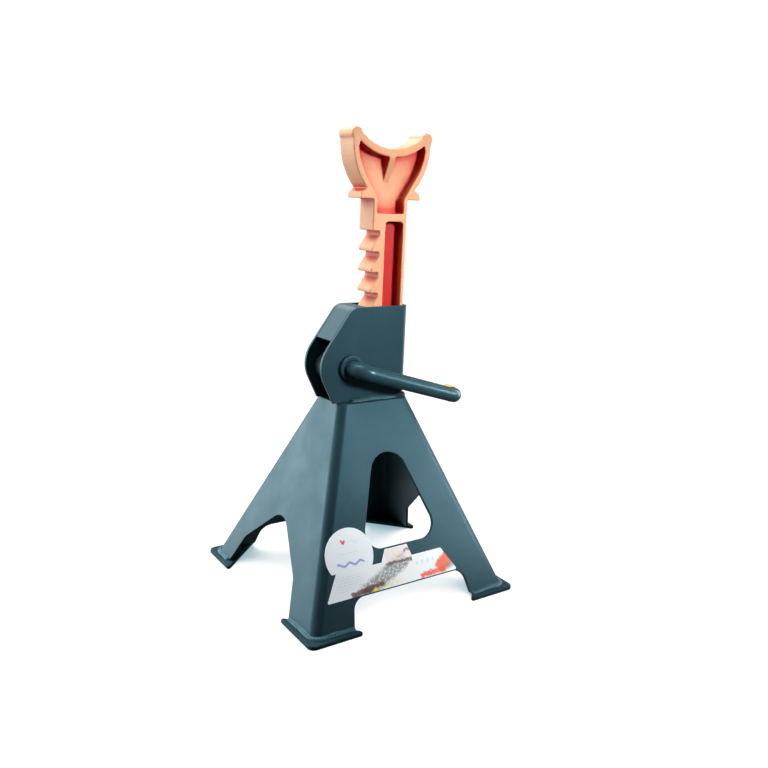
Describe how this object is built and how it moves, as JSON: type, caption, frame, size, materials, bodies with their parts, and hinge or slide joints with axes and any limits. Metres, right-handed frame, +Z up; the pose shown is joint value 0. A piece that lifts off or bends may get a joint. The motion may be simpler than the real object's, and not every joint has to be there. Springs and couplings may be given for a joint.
{
  "type": "ratchet jack stand",
  "caption": "Ratchet jack stand with a pressed pyramid base on foot plates, a toothed cast column with a curved saddle, and a bent-rod handle that turns a pawl.",
  "frame": {"origin": "on the floor, under the middle of the base", "axes": "+Z up, +X to the right along the front face that carries the labels, with the toothed edge and the ears of the housing on the -X side, and +Y to the back"},
  "size_m": [0.204, 0.2, 0.3855],
  "materials": {
    "base_paint": "dark slate blue-green powder coat, satin",
    "weld_paint": "the same powder coat over rippled weld bead",
    "column_paint": "salmon-orange enamel over sand casting, semi-gloss",
    "handle_paint": "dark slate blue-green powder coat, satin, worn at the bends",
    "cap_vinyl": "dipped yellow vinyl, soft sheen",
    "pawl_iron": "painted casting, worn bare at the nose",
    "zinc_steel": "zinc plated",
    "sticker": "printed vinyl, semi-gloss"
  },
  "bodies": {
    "base": {"base_half_front_left": "base_paint", "base_half_back_right": "base_paint", "base_corner_seams": "weld_paint", "foot_plate_front_left": "base_paint", "foot_plate_front_right": "base_paint", "foot_plate_back_left": "base_paint", "foot_plate_back_right": "base_paint", "foot_welds_front_left": "weld_paint", "foot_welds_front_right": "weld_paint", "foot_welds_back_left": "weld_paint", "foot_welds_back_right": "weld_paint", "crown_plate": "base_paint", "ratchet_housing": "base_paint", "housing_cover_strip": "base_paint", "housing_weld_front": "weld_paint", "housing_weld_back": "weld_paint", "housing_weld_right": "weld_paint", "front_bushing": "base_paint", "back_bushing": "base_paint", "round_sticker": "sticker", "label_strip": "sticker"},
    "column": {"ratchet_column": "column_paint", "column_stop_pin": "zinc_steel"},
    "handle": {"handle": "handle_paint", "handle_end_cap": "cap_vinyl", "pawl": "pawl_iron", "pawl_roll_pin": "zinc_steel", "pawl_washers": "zinc_steel", "shaft_washer": "zinc_steel", "shaft_circlip": "zinc_steel"}
  },
  "joints": [
    {"name": "column_slide", "type": "slide", "parent": "base", "child": "column", "axis": [0, 0, 1], "range_m": [-0.085, 0.034]},
    {"name": "handle_lift", "type": "hinge", "parent": "base", "child": "handle", "pos_m": [-0.0225, 0, 0.1935], "axis": [0, -1, 0], "range_deg": [-13.2, 40]}
  ]
}
